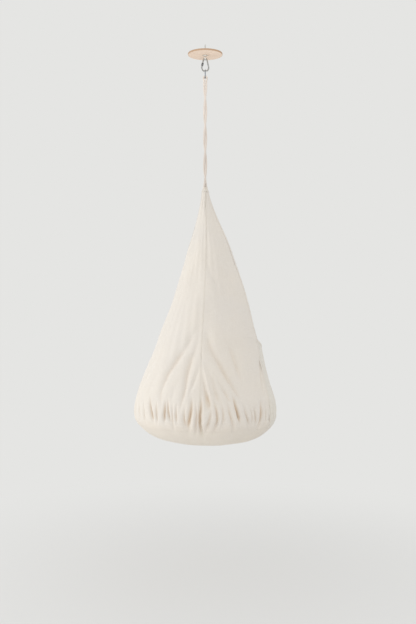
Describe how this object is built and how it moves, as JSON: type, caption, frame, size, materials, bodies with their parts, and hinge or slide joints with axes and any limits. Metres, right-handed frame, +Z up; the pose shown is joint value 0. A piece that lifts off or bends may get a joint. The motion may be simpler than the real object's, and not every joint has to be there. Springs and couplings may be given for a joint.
{
  "type": "hanging chair",
  "caption": "Drop-shaped hanging pod seat: gathered cotton cover with side entry and round cushion, on a twisted rope, ring, carabiner and ceiling eye.",
  "frame": {"origin": "centre of the ceiling disc's upper face, which lies on the ceiling", "axes": "+Z up into the ceiling, the chair hangs along -Z; -Y towards the picture's camera, +X to its right"},
  "size_m": [0.8324, 0.834, 2.3144],
  "materials": {
    "disc_wood": "satin",
    "zinc_steel": "satin",
    "carabiner_steel": "satin",
    "sleeve_steel": "satin",
    "ring_steel": "satin",
    "rope_cotton": "matte",
    "cover_cotton": "matte",
    "hem_cotton": "matte",
    "tape_cotton": "matte",
    "base_cotton": "matte",
    "ticking": "matte",
    "filling": "matte"
  },
  "bodies": {
    "ceiling_mount": {"ceiling_disc": "disc_wood", "eye_washer": "zinc_steel", "eye_bolt": "zinc_steel"},
    "carabiner": {"carabiner_body": "carabiner_steel", "gate_pin": "carabiner_steel"},
    "gate": {"carabiner_gate": "carabiner_steel", "gate_plunger": "zinc_steel", "gate_spring": "zinc_steel"},
    "sleeve": {"lock_sleeve": "sleeve_steel"},
    "ring": {"steel_ring": "ring_steel"},
    "rope": {"rope_bight": "rope_cotton", "rope_twist": "rope_cotton"},
    "pod": {"rope_knot": "rope_cotton", "apex_ring": "zinc_steel", "apex_casing": "cover_cotton", "back_panel": "cover_cotton", "near_side_panel": "cover_cotton", "far_side_panel": "cover_cotton", "near_hem": "hem_cotton", "far_hem": "hem_cotton", "pouch_panel": "cover_cotton", "pouch_hem": "hem_cotton", "near_seam_tape": "tape_cotton", "far_seam_tape": "tape_cotton", "base_panel": "base_cotton", "base_straps": "tape_cotton", "cushion_top": "ticking", "cushion_base": "ticking", "cushion_piping": "ticking", "cushion_filling": "filling"}
  },
  "joints": [
    {"name": "carabiner_swing", "type": "hinge", "parent": "ceiling_mount", "child": "carabiner", "pos_m": [0, 0, -0.037], "axis": [0, 1, 0], "range_deg": [-30, 30]},
    {"name": "gate_open", "type": "hinge", "parent": "carabiner", "child": "gate", "pos_m": [-0.01156, 0, -0.04326], "axis": [0, -1, 0], "range_deg": [0, 22], "stiffness_Nm_per_rad": 0.04, "springref_deg": -20.05},
    {"name": "sleeve_lift", "type": "slide", "parent": "gate", "child": "sleeve", "axis": [0.2184, 0, 0.9759], "range_m": [0, 0.008]},
    {"name": "ring_swing", "type": "hinge", "parent": "carabiner", "child": "ring", "pos_m": [0, 0, -0.1032], "axis": [1, 0, 0], "range_deg": [-35, 35]},
    {"name": "rope_swing", "type": "hinge", "parent": "ring", "child": "rope", "pos_m": [0, 0, -0.1419], "axis": [0, 1, 0], "range_deg": [-20, 20]},
    {"name": "pod_spin", "type": "hinge", "parent": "rope", "child": "pod", "pos_m": [0, 0, -0.8009], "axis": [0, 0, 1], "range_deg": [-180, 180], "deforming": ["rope_twist"]}
  ]
}
